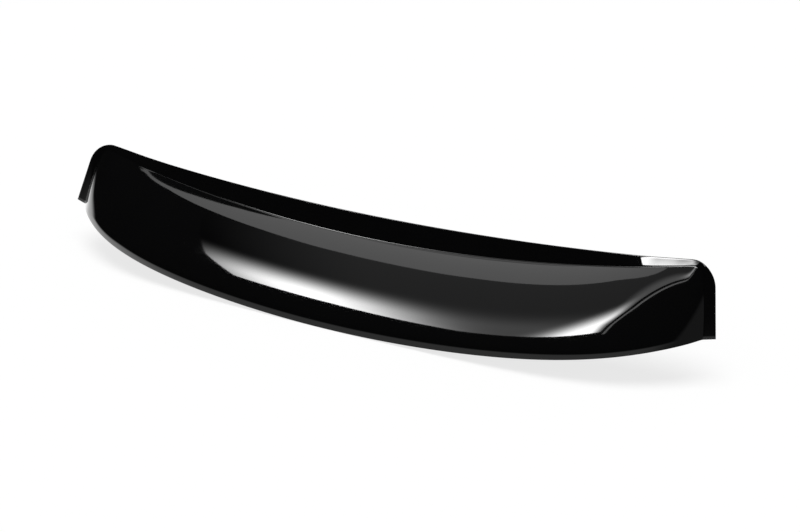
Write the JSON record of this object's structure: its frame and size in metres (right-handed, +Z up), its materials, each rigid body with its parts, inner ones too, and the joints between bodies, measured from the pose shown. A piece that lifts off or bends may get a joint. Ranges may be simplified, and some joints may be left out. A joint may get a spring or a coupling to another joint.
{
  "type": "tailgate spoiler",
  "caption": "Gloss black formed-sheet tailgate spoiler: a bulged visor panel with a flat mounting flange along its top and down both ends, open behind and below.",
  "frame": {"origin": "middle of the flange's back face, where the top flange seats on the tailgate", "axes": "+X across the car, +Y towards the tailgate (forwards), -Y rearwards, +Z up; the flange leans 20 degrees forwards at its top"},
  "size_m": [1.2, 0.1586, 0.1724],
  "materials": {
    "gloss_sheet": "gloss"
  },
  "bodies": {
    "root": {"spoiler_shell": "gloss_sheet"}
  },
  "joints": []
}
